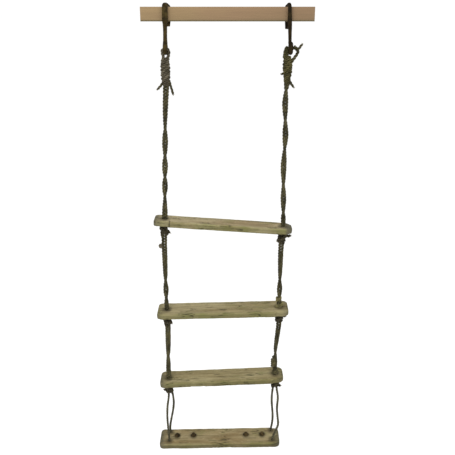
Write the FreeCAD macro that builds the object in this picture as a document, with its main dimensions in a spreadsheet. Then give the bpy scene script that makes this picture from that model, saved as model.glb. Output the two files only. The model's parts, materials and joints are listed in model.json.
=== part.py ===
import FreeCAD, Part
import math
import os
import Sketcher
from FreeCAD import Placement, Rotation, Vector

# Escape rope ladder on a hanging bar.  Millimetres, X right, +Y behind, +Z up.
# Origin: centre of the bar's underside.

doc = FreeCAD.newDocument("rope_ladder")
sheet = doc.addObject("Spreadsheet::Sheet", "Dimensions")

DIMENSIONS = {
    "bar_length": 540, "bar_depth": 90, "bar_thick": 43, "bar_edge": 1.5,
    "hook_left_x": -193.2, "hook_right_x": 192.9,
    "hook_left_lean": 0.023, "hook_right_lean": -0.065,
    "hook_reach": 51, "hook_steel": 11.4, "hook_roof": 11.7, "hook_rear_roof": 3.9, "hook_gap": 0.3,
    "tail_drop_left": 16, "tail_drop_right": 24,
    "eye_drop": 79.5, "eye_hole_radius": 6.6, "eye_steel_radius": 6.9,
    "rope_drop": 81.2, "rope_radius": 4.5, "leg_offset": 5.12,
    "seizing_depth": 19,
    "seizing_left_x": -197, "seizing_left_width": 30, "seizing_left_top": 111, "seizing_left_foot": 189,
    "seizing_right_x": 189.5, "seizing_right_width": 33, "seizing_right_top": 91.5,
    "seizing_right_throat": 105, "seizing_right_foot": 186,
    "hinge_rise": 14, "hinge_half_gap": 6, "hinge_drop": 52,
    "rung_thick": 19.5, "rung_corner": 18, "rung_edge": 2.5, "hole_radius": 10.5,
    "rung_1_x": -15, "rung_1_z": -667, "rung_1_tilt": 3.9, "rung_1_length": 478, "rung_1_depth": 75,
    "rung_2_x": -17, "rung_2_z": -997, "rung_2_tilt": -1.5, "rung_2_length": 475, "rung_2_depth": 94,
    "rung_3_x": -22, "rung_3_z": -1284, "rung_3_tilt": -2.75, "rung_3_length": 466, "rung_3_depth": 86,
    "rung_4_x": -31, "rung_4_z": -1566, "rung_4_tilt": -1.15, "rung_4_length": 470, "rung_4_depth": 95,
    "hole_left_1": -203, "hole_right_1": 207,
    "hole_left_2": -204.4, "hole_right_2": 205.4,
    "hole_left_3": -201.9, "hole_right_3": 202,
    "foot_hole_radius": 6.2, "foot_hole_front": -22, "foot_hole_back": 32,
    "front_hole_left_4": -197.3, "back_hole_left_4": -198.2,
    "front_hole_right_4": 206.8, "back_hole_right_4": 204.1,
    "stopper_radius": 8.2, "stopper_x": -232.8, "stopper_y": -63.3, "stopper_z": -741,
    "bolt_inner": 104, "bolt_outer": 168, "bolt_back": 6.5,
    "bolt_radius": 4, "bolt_hole_radius": 4.5, "bolt_stand": 11.5,
    "washer_radius": 11, "washer_thick": 1.6, "nut_flats": 13, "nut_thick": 6.5, "head_thick": 5.3,
}
for row, (alias, number) in enumerate(DIMENSIONS.items(), 1):
    sheet.set(f"A{row}", alias)
    sheet.set(f"B{row}", str(number))
    sheet.setAlias(f"B{row}", alias)
doc.recompute()


def dim(alias):
    """The number that the sheet holds under an alias."""
    return float(sheet.get(alias))


ROPE_R = dim("rope_radius")
LEG = dim("leg_offset")
GAP = dim("hinge_half_gap")
HALF_RUNG = dim("rung_thick") / 2
PARTS = []


def place(item, label, x="0", y="0", z="0", tilt=None):
    """Names a finished sub-part and binds its Placement to the sheet."""
    item.Label = label
    if tilt:
        item.Placement = Placement(Vector(), Rotation(Vector(0, 1, 0), 1))
        item.setExpression("Placement.Rotation.Angle", tilt)
    item.setExpression("Placement.Base.x", x)
    item.setExpression("Placement.Base.y", y)
    item.setExpression("Placement.Base.z", z)
    PARTS.append(item)
    return item


def on_rung(item, label, k):
    """Places a sub-part in the frame of rung k: its centre, leaning with the board."""
    return place(
        item,
        label,
        f"Dimensions.rung_{k}_x",
        "-Dimensions.hook_reach",
        f"Dimensions.rung_{k}_z",
        f"Dimensions.rung_{k}_tilt",
    )


def feature(name, shape):
    """A Part::Feature that holds one finished shape."""
    item = doc.addObject("Part::Feature", name)
    item.Shape = shape
    return item


def plane_of(body, role):
    """One of the body's own origin planes."""
    return next(o for o in body.Origin.OriginFeatures if o.Role == role)


def new_sketch(body, name, role, offset=0.0):
    """A sketch attached to one of the body's own origin planes."""
    sketch = body.newObject("Sketcher::SketchObject", name)
    sketch.AttachmentSupport = [(plane_of(body, role), "")]
    sketch.MapMode = "FlatFace"
    sketch.AttachmentOffset = Placement(Vector(0, 0, offset), Rotation())
    return sketch


def polygon(sketch, corners):
    """Closes a ring of straight lines through the corners."""
    count = len(corners)
    lines = []
    for i, (u, v) in enumerate(corners):
        u2, v2 = corners[(i + 1) % count]
        lines.append(sketch.addGeometry(Part.LineSegment(Vector(u, v, 0), Vector(u2, v2, 0)), False))
    for i, line in enumerate(lines):
        sketch.addConstraint(Sketcher.Constraint("Coincident", line, 2, lines[(i + 1) % count], 1))


def circle(sketch, u, v, radius):
    """A full circle."""
    return sketch.addGeometry(Part.Circle(Vector(u, v, 0), Vector(0, 0, 1), radius), False)


def rounded_plate(sketch, half_u, half_v, radius):
    """A rectangle about the origin with round corners."""
    for su, sv, start in ((1, 1, 0), (-1, 1, 90), (-1, -1, 180), (1, -1, 270)):
        centre = Vector(su * (half_u - radius), sv * (half_v - radius), 0)
        round_corner = Part.Circle(centre, Vector(0, 0, 1), radius)
        sweep = (math.radians(start), math.radians(start + 90))
        sketch.addGeometry(Part.ArcOfCircle(round_corner, *sweep), False)
    u, v, cu, cv = half_u, half_v, half_u - radius, half_v - radius
    for a, b in (((u, -cv), (u, cv)), ((cu, v), (-cu, v)), ((-u, cv), (-u, -cv)), ((-cu, -v), (cu, -v))):
        sketch.addGeometry(Part.LineSegment(Vector(*a, 0), Vector(*b, 0)), False)


def pad(body, name, sketch, length, expression=None):
    """A symmetric pad."""
    item = body.newObject("PartDesign::Pad", name)
    item.Profile = sketch
    item.Length = length
    item.Midplane = True
    if expression:
        item.setExpression("Length", expression)
    sketch.Visibility = False
    doc.recompute()
    return item


def cut(body, name, sketch):
    """A pocket right through, both ways, that must take material off."""
    before = body.Shape.Volume
    item = body.newObject("PartDesign::Pocket", name)
    item.Profile = sketch
    item.Type = 1
    item.Midplane = True
    doc.recompute()
    assert body.Shape.Volume < before - 1, f"{name} took nothing off"
    return item


def soften(body, name, radius, wanted):
    """Fillets the edges of the body's tip that wanted() accepts."""
    tip = body.Tip
    names = [f"Edge{i}" for i, edge in enumerate(tip.Shape.Edges, 1) if wanted(edge)]
    item = body.newObject("PartDesign::Fillet", name)
    item.Base = (tip, names)
    item.Radius = radius
    doc.recompute()
    return item


# ---------------------------------------------------------------- hanging bar

bar = doc.addObject("PartDesign::Body", "HangingBar")
bar_face = new_sketch(bar, "BarSection", "YZ_Plane")
half_deep = dim("bar_depth") / 2
polygon(
    bar_face,
    [(-half_deep, 0), (half_deep, 0), (half_deep, dim("bar_thick")), (-half_deep, dim("bar_thick"))],
)
pad(bar, "BarLength", bar_face, 540, "Dimensions.bar_length")
soften(bar, "BarArris", dim("bar_edge"), lambda e: abs(e.Length - dim("bar_length")) < 0.01)
place(bar, "hanging_bar")

# ---------------------------------------------------------------------- hooks


def hook(name, label, side_name, tail_drop, widths):
    """A hook bent from iron bar: side outline first, then cut to its width in front view."""
    lean = dim(f"hook_{side_name}_lean")
    reach, steel = dim("hook_reach"), dim("hook_steel") / 2
    under = dim("bar_thick") + dim("hook_gap")
    top, rear = under + dim("hook_roof"), under + dim("hook_rear_roof")
    inner, outer, nip = reach - steel, reach + steel, 3.5
    foot = -dim("eye_drop") + dim("eye_hole_radius") + dim("eye_steel_radius")
    body = doc.addObject("PartDesign::Body", name)
    side = new_sketch(body, name + "Side", "YZ_Plane")
    polygon(
        side,
        [
            (-outer, foot), (-inner, foot), (-inner, under), (inner, under), (inner, -tail_drop),
            (outer - 2, -tail_drop - 1.5), (outer, -tail_drop + 2), (outer, rear - nip),
            (outer - 7, rear), (-outer + 14, top), (-outer + nip, top - 1), (-outer, top - 2 * nip),
        ],
    )
    pad(body, name + "Bend", side, 2 * max(w for _, w in widths))
    for sign, hand in ((-1, "Left"), (1, "Right")):
        trim = new_sketch(body, name + hand + "Trim", "XZ_Plane")
        far = 30 * sign
        ends = [(far, top + 5), (far, foot - 5)]
        polygon(trim, [(sign * w + lean * z, z) for z, w in widths] + ends[::-1])
        cut(body, name + hand + "Waist", trim)
    ring = body.newObject("PartDesign::AdditiveTorus", name + "Eye")
    ring.Radius1 = dim("eye_hole_radius") + dim("eye_steel_radius")
    ring.Radius2 = dim("eye_steel_radius")
    ring.AttachmentSupport = [(plane_of(body, "YZ_Plane"), "")]
    ring.MapMode = "FlatFace"
    middle = -lean * dim("eye_drop")
    ring.AttachmentOffset = Placement(Vector(-reach, -dim("eye_drop"), middle), Rotation())
    doc.recompute()
    return place(body, label, f"Dimensions.hook_{side_name}_x")


hook("LeftHook", "left_hook", "left", dim("tail_drop_left"), [
    (60, 2.5), (55, 4.4), (52.5, 6.6), (48, 8.3), (41, 8.9), (3, 8.7),
    (-8, 7), (-20, 6.1), (-43, 5.9), (-56, 6.2), (-62, 6.9), (-75, 6.9),
])
hook("RightHook", "right_hook", "right", dim("tail_drop_right"), [
    (60, 2.2), (55, 3.7), (52, 5.3), (46, 6.4), (30, 6.6), (4, 6.4),
    (-43, 6.2), (-58, 6.4), (-63, 6.9), (-75, 6.9),
])

# ---------------------------------------------------------------------- cords


def bend_path(points):
    """Straight runs joined by tangent arcs; gives the wire and its smallest bend radius."""
    points = [Vector(*p) for p in points]
    edges, here, tightest = [], points[0], math.inf
    for before, corner, after in zip(points, points[1:], points[2:]):
        back = (before - corner).normalize()
        ahead = (after - corner).normalize()
        turn = math.pi - back.getAngle(ahead)
        if turn < 1e-4:
            continue
        reach = 0.45 * min((before - corner).Length, (after - corner).Length)
        radius = reach / math.tan(turn / 2)
        tightest = min(tightest, radius)
        start, end = corner + back * reach, corner + ahead * reach
        inward = (back + ahead).normalize()
        middle = corner + inward * (math.hypot(radius, reach) - radius)
        if (start - here).Length > 1e-6:
            edges.append(Part.makeLine(here, start))
        edges.append(Part.Arc(start, middle, end).toShape())
        here = end
    edges.append(Part.makeLine(here, points[-1]))
    return Part.Wire(edges), tightest


def dome(solid, radius, end, outward):
    """Rounds a cord's flat end; the cap's seam is turned until the fuse comes out as one solid."""
    for seam in (0, 40, 80, 120):
        cap = Part.makeSphere(radius, end, outward, 0, 90, 360)
        cap.rotate(end, outward, seam)
        whole = solid.fuse(cap)
        if len(whole.Solids) == 1 and whole.isValid():
            return whole
    raise ValueError("a cord's end could not be rounded")


def cord(points, radius=ROPE_R, round_start=False, round_end=False):
    """A round cord swept along a path, checked against section times length."""
    wire, tightest = bend_path(points)
    heading = wire.Edges[0].tangentAt(wire.Edges[0].FirstParameter)
    section = Part.Wire(Part.makeCircle(radius, Vector(*points[0]), heading))
    solid = wire.makePipeShell([section], True, False)
    exact = math.pi * radius**2 * wire.Length
    assert abs(solid.Volume / exact - 1) < 0.01, f"cord volume {solid.Volume} is not {exact}"
    assert tightest > radius, f"bend radius {tightest} under the cord's own {radius}"
    print(f"cord length {wire.Length:.1f} mm, smallest bend radius {tightest:.1f} mm")
    if round_start:
        solid = dome(solid, radius, Vector(*points[0]), -heading)
    if round_end:
        last = wire.Edges[-1]
        solid = dome(solid, radius, Vector(*points[-1]), last.tangentAt(last.LastParameter))
    return solid


def rung_point(k, x, z):
    """A point of rung k's own frame, seen from the row frame moved back to the ropes' plane."""
    turned = Rotation(Vector(0, 1, 0), dim(f"rung_{k}_tilt")).multVec(Vector(x, 0, z))
    return turned + Vector(dim(f"rung_{k}_x"), 0, dim(f"rung_{k}_z"))


def height_at(phase, marks):
    """The height where the pair has turned by phase, read between the marks."""
    for (p0, z0), (p1, z1) in zip(marks, marks[1:]):
        if phase <= p1:
            return z0 + (z1 - z0) * (phase - p0) / (p1 - p0)
    return marks[-1][1]


def centre_at(z, line):
    """The x of a pair's centre line at a height."""
    for (x0, z0), (x1, z1) in zip(line, line[1:]):
        if z >= z1:
            return x0 + (x1 - x0) * (z - z0) / (z1 - z0)
    return line[-1][0]


def pair(top, bottom, turns, half_turns, via, round_top):
    """The two legs of a doubled rope, laid round each other, turned as far as the marks say."""
    line = [(top.x, top.z)] + via + [(bottom.x, bottom.z)]
    marks = [(0, top.z)] + turns + [(180 * half_turns, bottom.z)]
    legs = []
    for start in (0, 180):
        points = []
        for step in range(4 * half_turns + 1):
            phase = 45 * step
            z = height_at(phase, marks)
            angle = math.radians(start + phase)
            points.append((centre_at(z, line) + LEG * math.cos(angle), LEG * math.sin(angle), z))
        if not round_top:
            points.insert(1, (points[0][0], 0, top.z - 5))
        legs.append(cord(points, round_start=round_top, round_end=True))
    return legs


def in_rope_plane(label, shape):
    """A sub-part drawn about the plane that both ropes hang in."""
    item = feature(label.title().replace("_", ""), shape)
    return place(item, label, "0", "-Dimensions.hook_reach")


# the bight through each hook's eye, the bound bundle below it, and the cut ends
LOOP_Z = -dim("rope_drop")


def seizing(name, label, outline, side_name):
    """The bound bundle under an eye: its outline in front view, rounded front and back."""
    body = doc.addObject("PartDesign::Body", name)
    front = new_sketch(body, name + "Front", "XZ_Plane")
    polygon(front, outline)
    pad(body, name + "Bundle", front, 19, "Dimensions.seizing_depth")
    soften(body, name + "Round", 4.5, lambda e: abs(e.BoundBox.YLength) < 0.01 and e.BoundBox.ZLength > 4)
    return place(body, label, f"Dimensions.seizing_{side_name}_x", "-Dimensions.hook_reach")


LEFT_TOP, LEFT_LOW = -dim("seizing_left_top"), -dim("seizing_left_foot")
RIGHT_TOP, RIGHT_LOW = -dim("seizing_right_top"), -dim("seizing_right_foot")
half, throat = dim("seizing_left_width") / 2, -dim("seizing_right_throat")
seizing("LeftSeizing", "left_seizing", [
    (-half + 1.5, LEFT_TOP), (half - 1.5, LEFT_TOP), (half, LEFT_TOP - 20), (half - 0.5, LEFT_LOW + 14),
    (half - 4, LEFT_LOW), (-half + 4, LEFT_LOW), (-half + 0.5, LEFT_LOW + 14), (-half, LEFT_TOP - 20),
], "left")
half = dim("seizing_right_width") / 2
seizing("RightSeizing", "right_seizing", [
    (-half + 4.3, RIGHT_TOP), (-1.8, RIGHT_TOP), (0.9, RIGHT_TOP - 5), (1.2, throat + 0.5),
    (9.5, throat - 0.5), (11.6, throat - 8.5), (half + 2.9, throat - 14.66), (half + 0.9, throat - 32),
    (half - 0.5, RIGHT_LOW + 28), (half - 6.5, RIGHT_LOW), (-half + 6.5, RIGHT_LOW),
    (-half + 3, RIGHT_LOW + 26), (-half, RIGHT_LOW + 49), (-half + 2.5, RIGHT_TOP - 12),
], "right")

# each hook leans a little, so its eye is not straight under the bar
LEFT_EYE = dim("hook_left_x") - dim("hook_left_lean") * dim("eye_drop")
RIGHT_EYE = dim("hook_right_x") - dim("hook_right_lean") * dim("eye_drop")
CORDS = {
    "left_eye": [
        (LEFT_EYE - 10.3, LEFT_TOP + 0.8), (LEFT_EYE - 11.8, -100), (LEFT_EYE - 11.8, LOOP_Z - 6.3),
        (LEFT_EYE - 6.5, LOOP_Z), (LEFT_EYE + 6.5, LOOP_Z), (LEFT_EYE + 11.8, LOOP_Z - 6.3),
        (LEFT_EYE + 11.8, -100), (LEFT_EYE + 9.2, LEFT_TOP + 1.2),
    ],
    "right_eye": [
        (182.7, RIGHT_TOP + 0.7), (183.2, -86.6), (RIGHT_EYE - 10.9, LOOP_Z - 1), (RIGHT_EYE - 6.2, LOOP_Z),
        (RIGHT_EYE + 6.4, LOOP_Z), (214.5, -79.2), (223.5, -83), (225.3, -92), (205.25, throat - 11.27),
    ],
    "left_end_outer": [(-211, LEFT_LOW - 4.8), (-216, -198.5), (-223.5, -205)],
    "left_end_inner": [(-181, LEFT_LOW - 5), (-178.5, -205), (-175, -221)],
    "right_end_upper": [(229, -76.6), (232.7, -72.8), (236, -68.3)],
    "right_end_lower": [(204.9, RIGHT_LOW - 5), (208, -194.5), (211.5, -199)],
}


for label, route in CORDS.items():
    loose = "_end_" in label
    in_rope_plane(label, cord([(x, 0, z) for x, z in route], round_start=loose, round_end=loose))

# the twisted pairs, from each rung's knots down to just above the next rung
# how far each pair has turned at given heights: the legs cross in front view at 90, 270, 450 degrees
TURNS = {
    "left_1": [(20, -240), (90, -330), (270, -422), (450, -493), (630, -558)],
    "left_2": [(22, -830), (90, -877), (270, -945)],
    "left_3": [(22, -1140), (90, -1187), (158, -1232)],
    "right_1": [(45, -200), (90, -210), (180, -252), (270, -307), (450, -402), (630, -527), (810, -624)],
    "right_2": [(22, -835), (90, -880), (270, -950)],
    "right_3": [(22, -1135), (90, -1181), (158, -1225)],
}
HALF_TURNS = {"left_1": 4, "left_2": 2, "left_3": 1, "right_1": 5, "right_2": 2, "right_3": 1}
TOPS = {"left": Vector(-195.6, 0, LEFT_LOW), "right": Vector(190.4, 0, RIGHT_LOW)}
# where a pair's centre line leaves the straight
VIA = {
    "left_1": [(-200.7, -235)],
    "right_1": [(188.2, -207), (185.9, -249), (188.7, -305), (191, -361), (189.3, -402), (187.5, -461),
                (189.5, -527)],
    "right_3": [(181.8, -1090), (179.2, -1140), (179.5, -1181)],
}
RISE = HALF_RUNG + dim("hinge_rise") + GAP
DROP = -HALF_RUNG - dim("hinge_drop") - GAP

for side in ("left", "right"):
    for k in (1, 2, 3):
        top = TOPS[side] if k == 1 else rung_point(k - 1, dim(f"hole_{side}_{k - 1}"), DROP)
        bottom = rung_point(k, dim(f"hole_{side}_{k}"), RISE)
        name = f"{side}_{k}"
        legs = pair(top, bottom, TURNS[name], HALF_TURNS[name], VIA.get(name, []), k > 1)
        for leg, letter in zip(legs, "ab"):
            in_rope_plane(f"{side}_rope_{k}{letter}", leg)

# the bottom span: each side's rope runs down through the front hole and back up through the rear one
BIGHTS = {
    "left": (
        -LEG,
        [(-227.2, -1.8, -1376.2), (-232.5, -5.4, -1405.7), (-234.3, -9.1, -1435.4), (-234.2, -12.8, -1465.2),
         (-232.9, -16.1, -1492.2)],
        [(-208.6, 5.6, -1392.5), (-210.8, 11.1, -1423.4), (-215.7, 16.6, -1454.2), (-222, 22.3, -1486),
         (-229.1, 29.6, -1526.5)],
        LEG + 3.5,
    ),
    "right": (
        LEG,
        [(195.3, -2.8, -1370.9), (192, -6.3, -1400.5), (191.3, -9.4, -1425.9), (194.6, -13, -1455.7),
         (197.8, -16.1, -1481.4), (195.4, -18.1, -1497.7)],
        [(171.3, 1.3, -1355.6), (171.1, 7.8, -1392.3), (173.8, 13.4, -1424.2), (177.6, 20, -1462),
         (178.8, 25.8, -1494.8), (176.5, 31.7, -1528.2)],
        -LEG - 3.5,
    ),
}


def through_board(side):
    """The part of a bottom rope that is down one hole, along the board's underside and up the other."""
    y0, y1 = dim("foot_hole_front"), dim("foot_hole_back")
    x0, x1 = dim(f"front_hole_{side}_4"), dim(f"back_hole_{side}_4")
    low = -HALF_RUNG - 7.8
    stops = [(0, 17), (0, -2), (0, low), (0.29, low), (0.71, low), (1, low), (1, -2), (1, 17)]
    points = []
    for share, z in stops:
        spot = rung_point(4, x0 + (x1 - x0) * share, z)
        points.append((spot.x, y0 + (y1 - y0) * share, spot.z))
    return points


for side, (first, down, up, last) in BIGHTS.items():
    hole = dim(f"hole_{side}_3")
    start, end = rung_point(3, hole + first, DROP), rung_point(3, hole + last, DROP)
    points = [tuple(start)] + down + through_board(side) + up[::-1] + [tuple(end)]
    in_rope_plane(f"{side}_rope_4", cord(points, round_start=True, round_end=True))

# ---------------------------------------------------------------------- rungs


def rung(k):
    """A board with a rope hole near each end; rung 4 has two at each end, and four bolt holes."""
    body = doc.addObject("PartDesign::Body", f"Rung{k}")
    plan = new_sketch(body, f"Rung{k}Plan", "XY_Plane")
    rounded_plate(plan, dim(f"rung_{k}_length") / 2, dim(f"rung_{k}_depth") / 2, dim("rung_corner"))
    pad(body, f"Rung{k}Board", plan, 19.5, "Dimensions.rung_thick")
    soften(body, f"Rung{k}Worn", dim("rung_edge"), lambda e: abs(e.BoundBox.ZLength) < 0.01)
    holes = new_sketch(body, f"Rung{k}Holes", "XY_Plane")
    for side in ("left", "right"):
        if k < 4:
            circle(holes, dim(f"hole_{side}_{k}"), 0, dim("hole_radius"))
            continue
        for row in ("front", "back"):
            circle(holes, dim(f"{row}_hole_{side}_4"), dim(f"foot_hole_{row}"), dim("foot_hole_radius"))
    if k == 4:
        for x in BOLT_X:
            circle(holes, x, dim("bolt_back"), dim("bolt_hole_radius"))
    cut(body, f"Rung{k}Bored", holes)
    return on_rung(body, f"rung_{k}", k)


BOLT_X = [sign * dim(alias) for alias in ("bolt_inner", "bolt_outer") for sign in (-1, 1)]
for k in (1, 2, 3, 4):
    rung(k)

# ---------------------------------------------------------------------- knots


def wrap(x, z, radius, lean_x, lean_y):
    """One turn of rope round the knot's middle."""
    ring = Part.makeTorus(radius, ROPE_R)
    ring.Placement = Placement(Vector(x, 0, z), Rotation(0, lean_y, lean_x))
    return ring


def strand(x, low, high, round_low, round_high):
    """One upright leg of rope."""
    solid = Part.makeCylinder(ROPE_R, high - low, Vector(x, 0, low))
    if round_low:
        solid = dome(solid, ROPE_R, Vector(x, 0, low), Vector(0, 0, -1))
    if round_high:
        solid = dome(solid, ROPE_R, Vector(x, 0, high), Vector(0, 0, 1))
    return solid


HIGH = HALF_RUNG + dim("hinge_rise") - GAP
LOW = -HALF_RUNG - dim("hinge_drop") + GAP
# per knot: half width, leans, upper leg offsets, lower leg offsets, tails drawn from the knot
KNOTS = {
    "left_knot_1": (11.5, (9, -12, 16), (-LEG, LEG), (-LEG, LEG), [
        [(9, 0, -33), (15, -3, -35), (20, -5, -37)],
    ]),
    "right_knot_1": (12.5, (-9, 15, -8), (-LEG, LEG), (-LEG, LEG), [
        [(10, 0, -24), (21, 2, -26), (31, 3, -23)],
        [(-6, -10, -30), (-12, -16, -33), (-17, -19, -38)],
    ]),
    "left_knot_2": (
        12, (9, 16, -14), (-LEG, LEG), (-LEG, LEG),
        [[(8, 0, -34), (13, -4, -39), (16, -7, -43)]],
    ),
    "right_knot_2": (
        13, (-8, 10, 15), (-LEG, LEG), (-LEG, LEG),
        [[(9, 0, -30), (18, 4, -29), (25, 6, -33)]],
    ),
    "left_knot_3": (12.5, (9, -14, 10), (-LEG, LEG), (-LEG, LEG + 3.5), [
        [(-8, 0, -44), (-14, -3, -43), (-21, -5, -38)],
    ]),
    "right_knot_3": (12.5, (-9, 12, -16), (-LEG, LEG), (-LEG - 3.5, LEG), [
        [(9, 0, -38), (15, -4, -41), (20, -6, -42)],
    ]),
}


def knot(label):
    """The rope through one hole: legs down from the hinge, wraps under the board, legs or ends below."""
    half, leans, above, below, tails = KNOTS[label]
    side, _, k = label.split("_")
    reach = half - ROPE_R + 3
    pieces = []
    under = -HALF_RUNG
    for x in above:
        pieces.append(strand(x, under - 12, HIGH, False, True))
    turns = len(leans)
    for i in range(turns):
        pieces.append(wrap(1.5 * (-1) ** i, under - 6.8 - 9.2 * i, reach, leans[i], leans[i] * 0.4))
    bottom = under - 6.8 - 9.2 * (turns - 1)
    for x in below:
        held = math.copysign(LEG, x)
        pieces.append(strand(held, bottom - 6, under - 2, False, False))
        if abs(x) > LEG:
            path = [(held, 0, bottom), (held, 0, bottom - 3), (x, 0, LOW + 3), (x, 0, LOW)]
            pieces.append(cord(path, round_start=True, round_end=True))
        else:
            pieces.append(strand(x, LOW, bottom, True, False))
    for route in tails:
        pieces.append(cord([(x, y, z + under + 8) for x, y, z in route], round_start=True, round_end=True))
    core = Part.makeCylinder(reach, 9.2 * (turns - 1) + 2, Vector(0, 0, under - 7.8 - 9.2 * (turns - 1)))
    whole = core.multiFuse(pieces)
    assert len(whole.Solids) == 1, f"{label} has {len(whole.Solids)} solids"
    item = feature(label.title().replace("_", ""), whole.Solids[0])
    hole, lean = f"Dimensions.hole_{side}_{k}", f"Dimensions.rung_{k}_tilt"
    return place(
        item,
        label,
        f"Dimensions.rung_{k}_x + {hole} * cos({lean} * 1 deg)",
        "-Dimensions.hook_reach",
        f"Dimensions.rung_{k}_z - {hole} * sin({lean} * 1 deg)",
        lean,
    )


for label in KNOTS:
    knot(label)

# a rope end balled up into a stopper knot against the left pair, below rung 1
stopper = feature("LeftStopper", Part.makeSphere(dim("stopper_radius")))
place(stopper, "left_stopper", "Dimensions.stopper_x", "Dimensions.stopper_y", "Dimensions.stopper_z")

# ------------------------------------------------- bolts, washers and nuts of rung 4


def hexagon(flats, thick, x, z):
    """A six-sided prism."""
    corner = flats / math.sqrt(3)
    turn = [math.radians(60 * i + 11) for i in range(7)]
    ring = Part.makePolygon([Vector(x + corner * math.cos(a), dim("bolt_back") + corner * math.sin(a), z)
                             for a in turn])
    return Part.Face(ring).extrude(Vector(0, 0, thick))


def stud(radius, x, low, high):
    """A round bar on a bolt's axis."""
    return Part.makeCylinder(radius, high - low, Vector(x, dim("bolt_back"), low))


nut_seat = HALF_RUNG + dim("washer_thick")
groups = {"foot_bolts": [], "foot_washers": [], "foot_nuts": []}
for x in BOLT_X:
    shank = stud(dim("bolt_radius"), x, -HALF_RUNG, HALF_RUNG + dim("bolt_stand"))
    tip = shank.Edges
    end = [e for e in tip if abs(e.BoundBox.ZMin - HALF_RUNG - dim("bolt_stand")) < 0.01]
    shank = shank.makeChamfer(0.8, end)
    head = hexagon(dim("nut_flats"), dim("head_thick"), x, -HALF_RUNG - dim("head_thick"))
    groups["foot_bolts"].append(shank.fuse(head).removeSplitter())
    washer = stud(dim("washer_radius"), x, HALF_RUNG, nut_seat)
    groups["foot_washers"].append(washer.cut(stud(dim("bolt_hole_radius") - 0.1, x, HALF_RUNG, nut_seat)))
    nut = hexagon(dim("nut_flats"), dim("nut_thick"), x, nut_seat)
    high = nut_seat + dim("nut_thick")
    groups["foot_nuts"].append(nut.cut(stud(dim("bolt_radius"), x, nut_seat, high)))
for label, solids in groups.items():
    item = feature(label.title().replace("_", ""), Part.makeCompound(solids))
    on_rung(item, label, 4)

# ------------------------------------------------------------- checks and export

doc.recompute()
for item in doc.Objects:
    bad = [s for s in item.State if s in ("Invalid", "Error")]
    assert not bad, f"{item.Label}: {bad}"
os.makedirs("parts", exist_ok=True)
for item in PARTS:
    shape = item.Shape
    assert not shape.isNull() and shape.isValid(), f"{item.Label} has a bad shape"
    assert shape.Solids, f"{item.Label} has no solid"
    box = shape.BoundBox
    print(f"{item.Label:18s} {len(shape.Solids)} solid(s) {shape.Volume / 1000:8.2f} cm3  "
          f"x {box.XMin:.1f}..{box.XMax:.1f} y {box.YMin:.1f}..{box.YMax:.1f} "
          f"z {box.ZMin:.1f}..{box.ZMax:.1f}")
    shape.exportStep(f"parts/{item.Label}.step")
print(f"{len(PARTS)} sub-parts written")
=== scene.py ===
import bpy
import json
import math
import numpy as np
from mathutils import Matrix, Vector

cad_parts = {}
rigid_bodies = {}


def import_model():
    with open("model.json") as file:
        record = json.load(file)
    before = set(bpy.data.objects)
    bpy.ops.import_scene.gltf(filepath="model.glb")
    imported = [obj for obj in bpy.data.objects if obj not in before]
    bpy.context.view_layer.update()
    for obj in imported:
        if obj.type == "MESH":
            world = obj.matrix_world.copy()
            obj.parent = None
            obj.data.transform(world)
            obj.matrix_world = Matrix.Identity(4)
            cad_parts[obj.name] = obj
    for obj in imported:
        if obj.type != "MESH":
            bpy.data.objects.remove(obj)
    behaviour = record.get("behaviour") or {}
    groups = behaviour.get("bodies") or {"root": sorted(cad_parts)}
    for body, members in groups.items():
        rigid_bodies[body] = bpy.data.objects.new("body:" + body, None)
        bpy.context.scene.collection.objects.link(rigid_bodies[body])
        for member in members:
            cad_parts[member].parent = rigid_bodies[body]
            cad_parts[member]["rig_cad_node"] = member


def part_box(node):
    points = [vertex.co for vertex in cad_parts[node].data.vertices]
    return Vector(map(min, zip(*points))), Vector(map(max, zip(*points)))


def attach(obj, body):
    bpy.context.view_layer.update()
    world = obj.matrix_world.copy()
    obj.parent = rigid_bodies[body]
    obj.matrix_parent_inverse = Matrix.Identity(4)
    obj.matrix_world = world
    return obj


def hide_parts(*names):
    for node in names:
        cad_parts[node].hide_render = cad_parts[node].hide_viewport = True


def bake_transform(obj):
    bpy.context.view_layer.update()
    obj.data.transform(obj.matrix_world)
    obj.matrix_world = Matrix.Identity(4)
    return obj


# Escape rope ladder on a hanging bar.  Metres, X right, +Y behind, +Z up.
# Origin: centre of the bar's underside.

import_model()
scene = bpy.context.scene
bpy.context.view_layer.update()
random = np.random.default_rng(471)

# ------------------------------ dimensions

# the ropes' plane, a rope's radius, half the distance between a pair's legs, and the length of one lay
ROPE_Y = -0.051
ROPE_R = 0.0056
LEG = 0.0050
LAY = 0.031
# half a board's thickness, and the heights of the hinges over and under a board, in its own frame
HALF_RUNG = 0.00975
HINGE_OVER = HALF_RUNG + 0.014
HINGE_UNDER = -HALF_RUNG - 0.052
# the bundles' edges down their height: z, left x, right x
SEIZING = {
    "left": [(-0.1085, -0.2102, -0.1828), (-0.131, -0.2138, -0.1806), (-0.175, -0.2134, -0.1808),
             (-0.193, -0.2090, -0.1850)],
    "right": [(-0.103, 0.1755, 0.1990), (-0.119, 0.1738, 0.2078), (-0.137, 0.1728, 0.2068),
              (-0.160, 0.1755, 0.2052), (-0.188, 0.1795, 0.1992)],
}
# where each pair leaves its bundle: x and z
PAIR_TOP = {"left": (-0.1956, -0.183), "right": (0.1904, -0.180)}
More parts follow.
